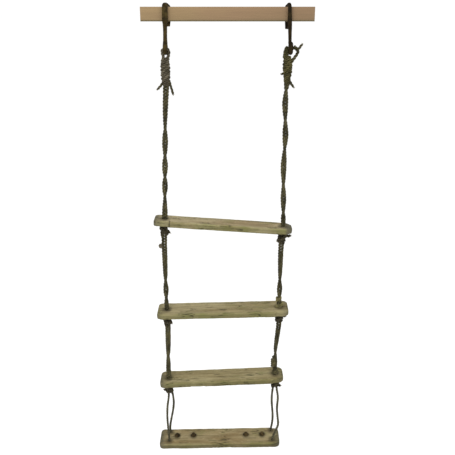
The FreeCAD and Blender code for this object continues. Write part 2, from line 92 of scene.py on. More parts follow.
# each board's centre, tilt in degrees, size and holes; front and rear holes of rung 4 follow
RUNGS = {
    1: dict(x=-0.015, z=-0.667, tilt=3.9, length=0.478, depth=0.075, holes=(-0.203, 0.207)),
    2: dict(x=-0.017, z=-0.997, tilt=-1.5, length=0.475, depth=0.094, holes=(-0.2044, 0.2054)),
    3: dict(x=-0.022, z=-1.284, tilt=-2.75, length=0.466, depth=0.086, holes=(-0.2019, 0.202)),
    4: dict(x=-0.031, z=-1.566, tilt=-1.15, length=0.470, depth=0.095),
}
FOOT_HOLES = {
    ("left", "front"): (-0.1973, -0.022), ("left", "back"): (-0.1982, 0.032),
    ("right", "front"): (0.2068, -0.022), ("right", "back"): (0.2041, 0.032),
}
BOLT_X = (-0.168, -0.104, 0.104, 0.168)
BOLT_Y = 0.0065
SIDES = ("left", "right")


def rung_matrix(k):
    """From rung k's own frame to the row frame."""
    rung = RUNGS[k]
    turn = Matrix.Rotation(math.radians(rung["tilt"]), 4, "Y")
    return Matrix.Translation((rung["x"], ROPE_Y, rung["z"])) @ turn


def on_rung(k, x, y, z):
    """A point of rung k's own frame, in the row frame."""
    return rung_matrix(k) @ Vector((x, y, z))


def hole_x(side, k):
    return RUNGS[k]["holes"][SIDES.index(side)]


# ------------------------------ node help


class Nodes:
    """Short calls for building one material's node tree."""

    def __init__(self, name):
        self.material = bpy.data.materials.new(name)
        self.material.use_nodes = True
        self.tree = self.material.node_tree
        self.tree.nodes.clear()
        self.shader = self.tree.nodes.new("ShaderNodeBsdfPrincipled")
        out = self.tree.nodes.new("ShaderNodeOutputMaterial")
        self.link(self.shader.outputs["BSDF"], out.inputs["Surface"])

    def link(self, source, target):
        self.tree.links.new(source, target)

    def give(self, socket, value):
        """Sets a socket to a number or joins it to another node."""
        if isinstance(value, bpy.types.NodeSocket):
            self.link(value, socket)
        elif isinstance(value, (tuple, list)) and len(value) == 3 and socket.type == "RGBA":
            socket.default_value = (*value, 1)
        else:
            socket.default_value = value

    def coords(self, scale=(1, 1, 1), shift=(0, 0, 0)):
        source = self.tree.nodes.new("ShaderNodeTexCoord")
        mapping = self.tree.nodes.new("ShaderNodeMapping")
        mapping.inputs["Scale"].default_value = scale
        mapping.inputs["Location"].default_value = shift
        self.link(source.outputs["Object"], mapping.inputs["Vector"])
        return mapping.outputs["Vector"]

    def part(self, axis):
        """One coordinate: 0 for X, 1 for Y, 2 for Z."""
        node = self.tree.nodes.new("ShaderNodeSeparateXYZ")
        self.link(self.coords(), node.inputs[0])
        return node.outputs[axis]

    def noise(self, vector, scale, detail=4.0, rough=0.55, warp=0.0):
        node = self.tree.nodes.new("ShaderNodeTexNoise")
        self.give(node.inputs["Vector"], vector)
        self.give(node.inputs["Scale"], scale)
        self.give(node.inputs["Detail"], detail)
        self.give(node.inputs["Roughness"], rough)
        self.give(node.inputs["Distortion"], warp)
        return node.outputs["Fac"]

    def ramp(self, value, low, high, a=0.0, b=1.0):
        """Maps low..high to a..b, held beyond."""
        node = self.tree.nodes.new("ShaderNodeMapRange")
        self.give(node.inputs["Value"], value)
        for name, number in (("From Min", low), ("From Max", high), ("To Min", a), ("To Max", b)):
            node.inputs[name].default_value = number
        return node.outputs["Result"]

    def math(self, kind, a, b=0.0):
        node = self.tree.nodes.new("ShaderNodeMath")
        node.operation = kind
        self.give(node.inputs[0], a)
        self.give(node.inputs[1], b)
        return node.outputs[0]

    def times(self, a, b):
        return self.math("MULTIPLY", a, b)

    def mix(self, share, a, b, kind="MIX"):
        node = self.tree.nodes.new("ShaderNodeMix")
        node.data_type = "RGBA"
        node.blend_type = kind
        self.give(node.inputs[0], share)
        self.give(node.inputs[6], a)
        self.give(node.inputs[7], b)
        return node.outputs[2]

    def tint(self, colour, factor):
        """A colour multiplied by a number."""
        return self.mix(1.0, colour, factor, "MULTIPLY")

    def attribute(self, name):
        node = self.tree.nodes.new("ShaderNodeAttribute")
        node.attribute_name = name
        return node.outputs["Fac"]

    def bump(self, height, distance, strength):
        node = self.tree.nodes.new("ShaderNodeBump")
        self.give(node.inputs["Height"], height)
        node.inputs["Distance"].default_value = distance
        node.inputs["Strength"].default_value = strength
        return node.outputs["Normal"]

    def finish(self, colour, rough, normal=None, specular=0.3):
        self.give(self.shader.inputs["Base Color"], colour)
        self.give(self.shader.inputs["Roughness"], rough)
        self.shader.inputs["Specular IOR Level"].default_value = specular
        if normal is not None:
            self.link(normal, self.shader.inputs["Normal"])
        return self.material


def srgb(r, g, b):
    """A colour given as it looks on screen, 0 to 255."""
    return tuple(((c / 255 + 0.055) / 1.055) ** 2.4 if c > 10 else c / 3294.6 for c in (r, g, b))


# ------------------------------ materials


def rope_material(name, dark, light, grey):
    """Weathered laid rope: yarn lines along each strand, painted shade darkening the grooves between
    strands, grey broken fibres.
    """
    n = Nodes(name)
    where = n.coords()
    groove = n.attribute("groove")
    yarn = n.attribute("yarn")
    lines = n.math("SINE", n.times(yarn, 2 * math.pi))
    fine = n.noise(where, 900, 3)
    patch = n.noise(where, 45, 4)
    flecks = n.ramp(n.noise(where, 420, 3, 0.6), 0.56, 0.68)
    colour = n.mix(n.ramp(patch, 0.35, 0.65), dark, light)
    colour = n.mix(n.times(flecks, 0.55), colour, grey)
    # painted shade: the grooves between the strands are darkened towards a deeper copy of the dark colour
    colour = n.mix(n.ramp(groove, 0.3, 1.0, 0, 0.6), colour, tuple(c * 0.35 for c in dark))
    shade = n.ramp(n.math("ADD", lines, n.times(fine, 1.6)), -0.4, 2.2, 0.5, 1.2)
    colour = n.tint(colour, shade)
    colour = n.tint(colour, n.ramp(n.attribute("tone"), 0, 1, 0.55, 1.45))
    height = n.math("ADD", n.times(lines, 0.35), n.times(fine, 1.3))
    return n.finish(colour, 0.93, n.bump(height, 0.00035, 0.9), 0.15)


def fibre_material():
    """Loose fibres: pale and dry."""
    n = Nodes("loose_fibre")
    colour = n.mix(n.noise(n.coords(), 160, 2), srgb(92, 86, 58), srgb(140, 130, 98))
    return n.finish(colour, 0.9, None, 0.1)


def board_material(k, pale, brown, green, side):
    """Weathered softwood: streaked grain along X, drying cracks, green dirt along the long edges, painted
    shade on the front face, and stained holes.
    """
    n = Nodes(f"weathered_board_{k}")
    shift = (k * 3.1, k * 1.7, k * 2.3)
    grain = n.noise(n.coords((5, 130, 130), shift), 1.0, 6, 0.65, 0.4)
    broad = n.noise(n.coords((3, 14, 14), shift), 1.0, 5, 0.6, 0.6)
    blotch = n.noise(n.coords((16, 22, 22), shift), 1.0, 4, 0.6)
    speck = n.noise(n.coords((60, 160, 160), shift), 1.0, 4, 0.65)
    cracks = n.noise(n.coords((6, 46, 46), shift), 1.0, 3, 0.5, 0.7)
    ridge = n.math("ABSOLUTE", n.math("SUBTRACT", cracks, 0.5))
    gap = n.times(n.ramp(ridge, 0.0, 0.02, 1, 0), n.ramp(blotch, 0.44, 0.54))
    fibre = n.noise(n.coords((18, 620, 620), shift), 1.0, 3, 0.6)
    colour = n.mix(n.ramp(broad, 0.36, 0.62), pale, brown)
    colour = n.mix(n.ramp(grain, 0.35, 0.72, 0, 0.7), colour, tuple(c * 0.5 for c in brown))
    colour = n.mix(n.ramp(speck, 0.58, 0.72, 0, 0.45), colour, tuple(min(1, c * 1.35) for c in pale))
    colour = n.mix(n.ramp(speck, 0.42, 0.3, 0, 0.5), colour, tuple(c * 0.55 for c in brown))
    moss = n.times(n.ramp(blotch, 0.5, 0.62), n.ramp(speck, 0.4, 0.55))
    colour = n.mix(n.times(moss, 0.45), colour, green)
    edge = n.times(n.attribute("edge"), n.ramp(blotch, 0.3, 0.6, 0.25, 1.0))
    colour = n.mix(n.times(edge, 0.7), colour, green)
    # painted shade: the front face and the front half of the underside are darkened by the factor side
    colour = n.tint(colour, n.ramp(n.attribute("side"), 0, 1, 1.0, side))
    colour = n.mix(n.times(n.attribute("split"), 0.2), colour, srgb(150, 146, 112))
    worn = n.times(n.attribute("end"), n.ramp(speck, 0.35, 0.6, 0.3, 1.0))
    colour = n.mix(n.times(worn, 0.6), colour, srgb(84, 80, 62))
    stain = n.times(n.attribute("stain"), n.ramp(speck, 0.3, 0.6, 0.6, 1.0))
    colour = n.mix(n.times(stain, 0.9), colour, srgb(46, 40, 27))
    colour = n.mix(n.times(gap, 0.85), colour, srgb(46, 40, 26))
    colour = n.tint(colour, n.ramp(fibre, 0.2, 0.8, 0.75, 1.2))
    height = n.math("ADD", grain, n.times(fibre, 0.35))
    height = n.math("SUBTRACT", height, n.times(gap, 1.6))
    return n.finish(colour, n.ramp(grain, 0.2, 0.8, 0.78, 0.95), n.bump(height, 0.0016, 0.8), 0.2)


def planed_material():
    """Clean planed softwood with flat-sawn grain."""
    n = Nodes("planed_timber")
    rings = n.noise(n.coords((1.6, 26, 40)), 1.0, 3, 0.5, 0.9)
    bands = n.math("FRACT", n.times(rings, 7.0))
    bands = n.ramp(n.math("ABSOLUTE", n.math("SUBTRACT", bands, 0.5)), 0.0, 0.5)
    pores = n.noise(n.coords((14, 700, 700)), 1.0, 2, 0.5)
    tone = n.noise(n.coords((5, 8, 8)), 1.0, 3, 0.5)
    colour = n.mix(n.ramp(bands, 0, 1, 0.2, 0.8), srgb(138, 115, 81), srgb(131, 108, 76))
    colour = n.mix(n.ramp(tone, 0.4, 0.65, 0, 0.6), colour, srgb(138, 108, 82))
    colour = n.mix(n.ramp(n.part(0), -0.2, 0.27, 0, 0.8), colour, srgb(117, 94, 69))
    # painted shade along the bar's lower front edge, carried by the edge attribute
    colour = n.mix(n.times(n.attribute("edge"), 0.9), colour, srgb(76, 68, 42))
    colour = n.tint(colour, n.ramp(pores, 0.2, 0.8, 0.9, 1.08))
    return n.finish(colour, 0.62, n.bump(n.math("ADD", bands, pores), 0.0003, 0.35), 0.3)


def iron_material(name, black, rust, amount):
    """Hammered iron under old rust."""
    n = Nodes(name)
    where = n.coords()
    scale = n.noise(where, 260, 6, 0.65)
    patch = n.noise(where, 60, 4, 0.6)
    spots = n.noise(where, 700, 3, 0.6)
    colour = n.mix(n.ramp(patch, 0.42, 0.62, 0, amount), black, rust)
    colour = n.mix(n.ramp(spots, 0.6, 0.75, 0, 0.5 * amount), colour, tuple(min(1, c * 1.9) for c in rust))
    height = n.math("ADD", scale, n.times(patch, 1.2))
    return n.finish(colour, n.ramp(scale, 0.3, 0.7, 0.7, 0.95), n.bump(height, 0.0009, 0.8), 0.08)


ROPE = rope_material("rope", srgb(42, 40, 24), srgb(88, 82, 54), srgb(150, 144, 120))
LEGS = rope_material("leg_rope", srgb(56, 52, 38), srgb(92, 88, 68), srgb(150, 146, 128))
PALE_ROPE = rope_material("pale_rope", srgb(84, 80, 48), srgb(132, 124, 82), srgb(190, 182, 150))
ROPE_LOW = rope_material("rope_low", srgb(40, 36, 26), srgb(74, 68, 50), srgb(120, 112, 92))
BUNDLE = rope_material("seizing_rope", srgb(70, 64, 50), srgb(106, 98, 82), srgb(150, 142, 124))
MOSSY = rope_material("mossy_rope", srgb(48, 45, 22), srgb(92, 86, 50), srgb(160, 150, 108))
FIBRE = fibre_material()
# the left hook's iron is a lighter copy of the right's: its colour is partly rust and partly a painted
# highlight along the left hook
IRON = {
    "left": iron_material("left_forged_iron", srgb(36, 29, 14), srgb(72, 60, 30), 0.6),
    "right": iron_material("right_forged_iron", srgb(24, 18, 8), srgb(46, 36, 16), 0.6),
}
RUST = iron_material("rusty_bolts", srgb(42, 35, 22), srgb(82, 68, 42), 0.85)
# each board's last number is how far its front face is darkened by painted shade
BOARDS = {
    1: board_material(1, srgb(174, 163, 129), srgb(141, 124, 90), srgb(112, 112, 62), 0.68),
    2: board_material(2, srgb(162, 152, 116), srgb(132, 118, 82), srgb(108, 108, 60), 0.72),
    3: board_material(3, srgb(160, 150, 112), srgb(128, 114, 78), srgb(104, 104, 58), 0.70),
    4: board_material(4, srgb(164, 152, 116), srgb(130, 112, 76), srgb(106, 104, 58), 0.50),
}
TIMBER = planed_material()

# ------------------------------ mesh help


def add(name, data):
    """A new object in the scene."""
    item = bpy.data.objects.new(name, data)
    scene.collection.objects.link(item)
    return item


def new_mesh(name, points, faces, materials, smooth=True, indices=None, values=None):
    """An object from arrays of points and faces, with optional point attributes."""
    mesh = bpy.data.meshes.new(name)
    mesh.from_pydata([tuple(p) for p in points], [], faces)
    for material in materials:
        mesh.materials.append(material)
    if indices is not None:
        mesh.polygons.foreach_set("material_index", indices)
    mesh.polygons.foreach_set("use_smooth", [smooth] * len(mesh.polygons))
    for key, numbers in (values or {}).items():
        mesh.attributes.new(key, "FLOAT", "POINT").data.foreach_set("value", np.asarray(numbers, np.float32))
    mesh.update()
    return add(name, mesh)


def nurbs_line(points, step=0.002):
    """Points a step apart along the smooth curve that a cord's route describes."""
    curve = bpy.data.curves.new("route", "CURVE")
    curve.dimensions = "3D"
    curve.resolution_u = 16
    spline = curve.splines.new("NURBS")
    spline.points.add(len(points) - 1)
    for knot, place in zip(spline.points, points):
        knot.co = (*place, 1)
    spline.order_u = 3
    spline.use_endpoint_u = True
    item = add("route", curve)
    ready = item.evaluated_get(bpy.context.evaluated_depsgraph_get())
    mesh = bpy.data.meshes.new_from_object(ready)
    line = np.array([tuple(v.co) for v in mesh.vertices])
    bpy.data.meshes.remove(mesh)
    bpy.data.objects.remove(item)
    bpy.data.curves.remove(curve)
    return spaced(line, step)


def distances(line):
    """How far along a line each of its points is."""
    return np.concatenate([[0], np.cumsum(np.linalg.norm(np.diff(line, axis=0), axis=1))])


def length_of(line):
    return float(np.linalg.norm(np.diff(line, axis=0), axis=1).sum())


def spaced(line, step):
    """The same line with points an even step apart."""
    along = distances(line)
    count = max(3, int(round(along[-1] / step)) + 1)
    wanted = np.linspace(0, along[-1], count)
    return np.stack([np.interp(wanted, along, line[:, i]) for i in range(3)], 1)


def frames(line):
    """Tangents and two side directions that turn as little as possible along a line."""
    tangent = np.gradient(line, axis=0)
    tangent /= np.linalg.norm(tangent, axis=1)[:, None]
    side = np.zeros_like(line)
    first = np.cross(tangent[0], (0, 1, 0))
    if np.linalg.norm(first) < 0.1:
        first = np.cross(tangent[0], (1, 0, 0))
    side[0] = first / np.linalg.norm(first)
    for i in range(1, len(line)):
        moved = side[i - 1] - tangent[i] * (side[i - 1] @ tangent[i])
        side[i] = moved / np.linalg.norm(moved)
    return tangent, side, np.cross(tangent, side)


SEGMENTS = 27
AROUND = np.arange(SEGMENTS) * 2 * math.pi / SEGMENTS
OFF_CROWN = (AROUND + math.pi / 3) % (2 * math.pi / 3) - math.pi / 3
STRAND = 1 / (1 + 2 / math.sqrt(3))
PROFILE = (1 - STRAND) * np.cos(OFF_CROWN) + np.sqrt(
    np.maximum(STRAND**2 - ((1 - STRAND) * np.sin(OFF_CROWN)) ** 2, 0)
)
PROFILE = np.maximum(PROFILE, 0.66)
GROOVE = (1 - PROFILE) / (1 - PROFILE.min())
# how much of its radius a tapered rope keeps at its last rings
TAPER = (0.55, 0.85)


class RopeMesh:
    """Collects lengths of laid rope and loose fibres into one mesh."""

    def __init__(self):
        self.points, self.faces, self.kinds = [], [], []
        self.groove, self.yarn, self.tone = [], [], []

    def count(self):
        return len(self.points)

    def vertex(self, place, groove=0.0, yarn=0.0, tone=0.5):
        self.points.append(place)
        self.groove.append(groove)
        self.yarn.append(yarn)
        self.tone.append(tone)

    def rope(self, line, radius=ROPE_R, start=0.0, taper=(False, False), lay=LAY, phase=0.0, tone=0.5):
        """A three-strand rope along a line; start is how far along its lay it begins."""
        line = np.asarray(line, float)
        _, side, up = frames(line)
        along = distances(line) + start
        base = self.count()
        for i, centre in enumerate(line):
            turn = AROUND + phase + along[i] * 2 * math.pi / lay
            swell = radius * (1 + 0.035 * math.sin(along[i] * 190) + 0.025 * math.sin(along[i] * 71 + 1))
            from_start = i if taper[0] else len(TAPER)
            from_end = len(line) - 1 - i if taper[1] else len(TAPER)
            if min(from_start, from_end) < len(TAPER):
                swell *= TAPER[min(from_start, from_end)]
            ring = centre + np.outer(np.cos(turn) * PROFILE * swell, side[i])
            ring = ring + np.outer(np.sin(turn) * PROFILE * swell, up[i])
            for j in range(SEGMENTS):
                self.vertex(ring[j], GROOVE[j], OFF_CROWN[j] * 2.4 + along[i] * 420, tone)
        for i in range(len(line) - 1):
            low = base + i * SEGMENTS
            for j in range(SEGMENTS):
                k = (j + 1) % SEGMENTS
                self.faces.append((low + j, low + k, low + SEGMENTS + k, low + SEGMENTS + j))
                self.kinds.append(0)
        for low, centre, flip in ((base, line[0], True), (self.count() - SEGMENTS, line[-1], False)):
            middle = self.count()
            self.vertex(centre, 0.8, 0.0, tone)
            for j in range(SEGMENTS):
                k = (j + 1) % SEGMENTS
                self.faces.append((low + k, low + j, middle) if flip else (low + j, low + k, middle))
                self.kinds.append(0)

    def fibre(self, root, direction, length, width=0.00022, droop=0.15):
        """One loose fibre: a thin three-sided hair that curls a little."""
        direction = np.asarray(direction, float)
        direction = direction / np.linalg.norm(direction)
        side = np.cross(direction, random.normal(size=3))
        side /= np.linalg.norm(side)
        up = np.cross(direction, side)
        curl = side * random.normal() * 0.35 + up * random.normal() * 0.35 + np.array((0, 0, -droop))
        base = self.count()
        for i, share in enumerate((0, 0.5, 1)):
            centre = root + direction * length * share + curl * length * share**2
            for j in range(3):
                a = j * 2 * math.pi / 3
                thick = width * (1 - 0.75 * share) / 2
                self.vertex(centre + (side * math.cos(a) + up * math.sin(a)) * thick)
        for i in range(2):
            for j in range(3):
                k = (j + 1) % 3
                low = base + 3 * i
                self.faces.append((low + j, low + k, low + 3 + k, low + 3 + j))
                self.kinds.append(1)

    def fuzz(self, line, per_metre, reach=0.003, radius=ROPE_R):
        """Loose fibres all along a line of rope."""
        tangent, side, up = frames(np.asarray(line, float))
        for _ in range(int(per_metre * length_of(line))):
            i = random.integers(len(line))
            a = random.uniform(0, 2 * math.pi)
            out = side[i] * math.cos(a) + up[i] * math.sin(a)
            lean = tangent[i] * random.normal() * 1.6
            self.fibre(line[i] + out * radius * 0.8, out + lean, reach * random.uniform(0.5, 1.3))

    def lay(self, route, step, per_metre, reach=0.003, **look):
        """A rope along a route, with its loose fibres; gives the rope's line."""
        line = nurbs_line(route, step)
        self.rope(line, **look)
        self.fuzz(line, per_metre, reach)
        return line

    def tuft(self, place, direction, count, length, spread=0.45, radius=0.0032):
        """The frayed fibres of a cut end."""
        direction = np.asarray(direction, float) / np.linalg.norm(direction)
        for _ in range(count):
            off = random.normal(size=3)
            off -= direction * (off @ direction)
            off *= radius * random.uniform(0, 1) / np.linalg.norm(off)
            way = direction + off / radius * spread * random.uniform(0.2, 1)
            self.fibre(place + off, way, length * random.uniform(0.5, 1.2), 0.0003, 0.1)

    def lump(self, at, radius, thick, count, rise, hair):
        """Turns tied round a pair, leaning, with frayed ends to the front."""
        turn = np.arange(int(count * 10) + 1) / 10 * 2 * math.pi + 2.4
        up = rise * (turn - turn.mean()) / (2 * math.pi)
        lean = 0.3 * radius
        route = [
            at + np.array((radius * math.cos(a), radius * math.sin(a), r + lean * math.cos(a + 0.6)))
            for a, r in zip(turn, up)
        ]
        line = nurbs_line(route, 0.0012)
        self.rope(line, radius=thick, lay=0.018, taper=(True, True), tone=0.75)
        front = at + np.array((0.001, -radius - thick * 0.6, 0.001))
        self.tuft(front, (0.25, -0.5, -0.8), hair, 0.0060, 1.2, 0.005)
        self.tuft(front + np.array((-0.005, 0.003, 0.003)), (-0.5, -0.4, 0.6), hair // 2, 0.0050, 1.2, 0.004)

    def build(self, name, material):
        """Makes the object, with the fibres in their own material."""
        item = new_mesh(
            name, self.points, self.faces, [material, FIBRE],
            indices=self.kinds, values={"groove": self.groove, "yarn": self.yarn, "tone": self.tone},
        )
        return item


# ------------------------------ the ropes

# how far each pair has turned, in degrees, at given heights, as in the parts
TURNS = {
    ("left", 1): [(20, -0.240), (90, -0.330), (270, -0.422), (450, -0.493), (630, -0.558)],
    ("left", 2): [(22, -0.830), (90, -0.877), (270, -0.945)],
    ("left", 3): [(15, -1.150), (90, -1.190), (165, -1.222)],
    ("right", 1): [(45, -0.200), (90, -0.210), (180, -0.252), (270, -0.307), (450, -0.402), (630, -0.527),
                   (810, -0.624)],
    ("right", 2): [(22, -0.835), (90, -0.880), (270, -0.950)],
    ("right", 3): [(22, -1.135), (90, -1.181), (158, -1.225)],
}
HALF_TURNS = {
    ("left", 1): 4, ("left", 2): 2, ("left", 3): 1,
    ("right", 1): 5, ("right", 2): 2, ("right", 3): 1,
}
# how close the legs draw together where they go into a hole
SQUEEZE = {("left", 2): 0.6, ("right", 1): 0.6, ("right", 2): 0.8, ("right", 3): 0.8, ("left", 3): 0.8}
# where a pair's centre line leaves the straight: x and z
VIA = {
    ("left", 1): [(-0.2007, -0.235)],
    ("right", 1): [(0.1882, -0.207), (0.1859, -0.249), (0.1887, -0.305), (0.1910, -0.361), (0.1893, -0.402),
                   (0.1875, -0.461), (0.1895, -0.527)],
    ("right", 3): [(0.1818, -1.090), (0.1792, -1.140), (0.1795, -1.181)],
}
# the bottom ropes' two legs: where each leaves the knot, and its route to the board
BIGHTS = {
    ("left", "front"): (-LEG, [
        (-0.2272, -0.0018, -1.3762), (-0.2325, -0.0054, -1.4057), (-0.2343, -0.0091, -1.4354),
        (-0.2342, -0.0128, -1.4652), (-0.2329, -0.0161, -1.4922),
    ]),
    ("left", "back"): (LEG + 0.0035, [
        (-0.2086, 0.0056, -1.3925), (-0.2108, 0.0111, -1.4234), (-0.2157, 0.0166, -1.4542),
        (-0.2220, 0.0223, -1.4860), (-0.2291, 0.0296, -1.5265),
    ]),
    ("right", "front"): (LEG, [
        (0.1953, -0.0028, -1.3709), (0.1920, -0.0063, -1.4005), (0.1913, -0.0094, -1.4259),
        (0.1946, -0.0130, -1.4557), (0.1978, -0.0161, -1.4814), (0.1954, -0.0181, -1.4977),
    ]),
    ("right", "back"): (-LEG - 0.0035, [
        (0.1713, 0.0013, -1.3556), (0.1711, 0.0078, -1.3923), (0.1738, 0.0134, -1.4242),
        (0.1776, 0.0200, -1.4620), (0.1788, 0.0258, -1.4948), (0.1765, 0.0317, -1.5282),
    ]),
}
# turns tied round the right pair above rungs 2 and 3: body, rung, height over the board, sideways,
# ring radius, thickness, turns, rise per turn, fibres
LUMPS = {
    "right_lump_2_low": ("step_2", 2, 0.0055, 0.0010, 0.0106, 0.0048, 2.0, 0.0042, 260),
    "right_lump_2_high": ("span_2", 2, 0.0320, -0.0015, 0.0080, 0.0038, 2.2, 0.0050, 200),
    "right_lump_3_low": ("step_3", 3, 0.0060, 0.0010, 0.0094, 0.0036, 1.6, 0.0050, 60),
    "right_lump_3_high": ("span_3", 3, 0.0510, -0.0030, 0.0072, 0.0042, 4.0, 0.0090, 120),
}
# heights in a rung's frame, inside its knot: where the rope from above ends and the next one starts
IN_HOLE = -0.022
IN_KNOT = -0.030
# the thicker pair, and the radii of its ropes, of the bottom ropes, of the eyes and of the cut ends
STOUT = ("left", 3)
STOUT_R = 0.0062
BIGHT_R = 0.0047
EYE_R = {"left": 0.0055, "right": 0.0052}
END_R = 0.0043


def pair_routes(side, k):
    """Route points of the two legs between two rungs, and on through the knots at both ends."""
    if k == 1:
        top = Vector((PAIR_TOP[side][0], ROPE_Y, PAIR_TOP[side][1]))
        above = []
    else:
        top = on_rung(k - 1, hole_x(side, k - 1), 0, HINGE_UNDER)
        above = [on_rung(k - 1, hole_x(side, k - 1), 0, IN_KNOT)]
    bottom = on_rung(k, hole_x(side, k), 0, HINGE_OVER)
    half_turns = HALF_TURNS[side, k]
    marks = [(0, top.z)] + TURNS[side, k] + [(180 * half_turns, bottom.z)]
    middle = [(bottom.x, bottom.z)] + VIA.get((side, k), [])[::-1] + [(top.x, top.z)]
    routes = []
    for start in (0, 180):
        held = LEG * math.cos(math.radians(start))
        route = [p + Vector((held, 0, 0)) for p in above]
        for step in range(4 * half_turns + 1):
            phase = 45 * step
            z = float(np.interp(phase, [m[0] for m in marks], [m[1] for m in marks]))
            angle = math.radians(start + phase)
            x = float(np.interp(z, [m[1] for m in middle], [m[0] for m in middle])) + LEG * math.cos(angle)
            route.append(Vector((x, ROPE_Y + LEG * math.sin(angle), z)))
        last = LEG * math.cos(math.radians(start + 180 * half_turns)) * SQUEEZE.get((side, k), 1)
        route[-1] = on_rung(k, hole_x(side, k) + last, 0, HINGE_OVER)
        route.append(on_rung(k, hole_x(side, k) + last, 0, IN_HOLE))
        routes.append(route)
    return routes


def bight_route(side, row):
    """Route points of one bottom leg: out of the knot, down through its hole, half way to the other hole."""
    start, between = BIGHTS[side, row]
    route = [on_rung(3, hole_x(side, 3) + math.copysign(LEG, start), 0, IN_KNOT)]
    route.append(on_rung(3, hole_x(side, 3) + start, 0, HINGE_UNDER + 0.006))
    route += [Vector((x, ROPE_Y + y, z)) for x, y, z in between]
    x, y = FOOT_HOLES[side, row]
    x2, y2 = FOOT_HOLES[side, "back" if row == "front" else "front"]
    low = -HALF_RUNG - 0.0078
    for share, z in ((0, 0.017), (0, -0.002), (0, low), (0.29, low), (0.51, low)):
        route.append(on_rung(4, x + (x2 - x) * share, y + (y2 - y) * share, z))
    return route


def split(line, z):
    """Cuts a downward line in two at a height; both halves keep the shared point."""
    cut = int(np.argmin(np.abs(line[:, 2] - z)))
    return line[: cut + 1], line[cut:]


def hang(item, k, part):
    """Attaches the upper half of span 1 to its body; the other halves are baked in place and attached to
    none.
    """
    if part == "upper" and k == 1:
        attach(item, "span_1")
    elif part == "upper":
        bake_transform(item)
    else:
        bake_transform(item)


def lay_rope(name, lines, k, side):
    """Makes a span's pair as an upper and a lower half."""
    middle = (lines[0][0, 2] + lines[0][-1, 2]) / 2
    halves = [split(line, middle) for line in lines]
    for part, index in (("upper", 0), ("lower", 1)):
        mesh = RopeMesh()
        own = [h[index] for h in halves]
        stout = (side, k) == STOUT
        pale = 0.32 if stout else 0.1 * (index == 1 and k == 1)
        for line, half, start, tone in zip(own, halves, (0.0, 0.013), (0.56, 0.42)):
            run = start + (length_of(half[0]) if index else 0)
            radius = STOUT_R if stout else ROPE_R
            mesh.rope(line, radius=radius, start=run, phase=start * 40, tone=tone + pale)
            mesh.fuzz(line, 420)
        item = mesh.build(f"{name}_{part}", ROPE)
        if part == "upper":
            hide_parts(f"{name}a", f"{name}b")
        hang(item, k, part)


def lay_bight(side, row):
    """One leg of a bottom rope."""
    line = nurbs_line(bight_route(side, row))
    mesh = RopeMesh()
    mesh.rope(line, radius=BIGHT_R, tone=0.55)
    mesh.fuzz(line, 420, 0.002, BIGHT_R)
    item = mesh.build(f"{side}_rope_4_{row}", LEGS)
    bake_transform(item)
    if row == "front":
        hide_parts(f"{side}_rope_4")


def tie_lump(name):
    """A few frayed turns tied round the right pair close above a board."""
    body, k, high, aside, *shape = LUMPS[name]
    mesh = RopeMesh()
    mesh.lump(np.array(on_rung(k, hole_x("right", k) + aside, 0, HALF_RUNG + high)), *shape)
    item = mesh.build(name, PALE_ROPE if "_2_" in name else ROPE)
    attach(item, body)


for side in SIDES:
    for k in (1, 2, 3):
        lay_rope(f"{side}_rope_{k}", [nurbs_line(route) for route in pair_routes(side, k)], k, side)
    for row in ("front", "back"):
        lay_bight(side, row)
for name in LUMPS:
    tie_lump(name)

# ------------------------------ the knots

# each knot's turns: ring radius, how many, their lean, where they start in degrees, which way one crosses
KNOTS = {
    ("left", 1): (0.0088, 3.6, 0.35, 30, 1),
    ("right", 1): (0.0105, 3.4, -0.3, 200, -1),
    ("left", 2): (0.0100, 3.5, 0.3, 80, 1),
    ("right", 2): (0.0110, 3.6, -0.35, 10, -1),
    ("left", 3): (0.0112, 3.6, 0.3, 120, 1),
    ("right", 3): (0.0105, 3.5, -0.3, 60, -1),
}
# the part of a knot that crosses its turns in front, as steps from the hole
CROSSING = [
    (-0.007, -0.009, -0.004), (-0.013, -0.016, -0.009), (-0.004, -0.0205, -0.018),
    (0.008, -0.017, -0.027), (0.0125, -0.008, -0.034), (0.006, -0.001, -0.040),
]
# the knots' cut ends, as steps from the hole; heights count from 8 mm above the board's underside
TAILS = {
    ("left", 1): [
        [(0.006, 0.000, -0.030), (0.0145, -0.003, -0.035), (0.020, -0.005, -0.038)],
    ],
    ("right", 1): [
        [(0.010, 0.000, -0.024), (0.021, 0.002, -0.026), (0.031, 0.003, -0.023)],
        [(-0.006, -0.010, -0.030), (-0.012, -0.016, -0.033), (-0.017, -0.019, -0.038)],
    ],
    ("left", 2): [[(0.006, 0.000, -0.032), (0.0125, -0.004, -0.039), (0.016, -0.007, -0.044)]],
    ("right", 2): [[(0.009, 0.000, -0.030), (0.018, 0.004, -0.029), (0.025, 0.006, -0.033)]],
    ("left", 3): [
        [(0.002, -0.004, -0.044), (-0.007, -0.003, -0.045), (-0.0145, -0.003, -0.043),
         (-0.021, -0.005, -0.038)],
    ],
    ("right", 3): [[(0.006, 0.000, -0.036), (0.0145, -0.004, -0.041), (0.021, -0.006, -0.042)]],
}


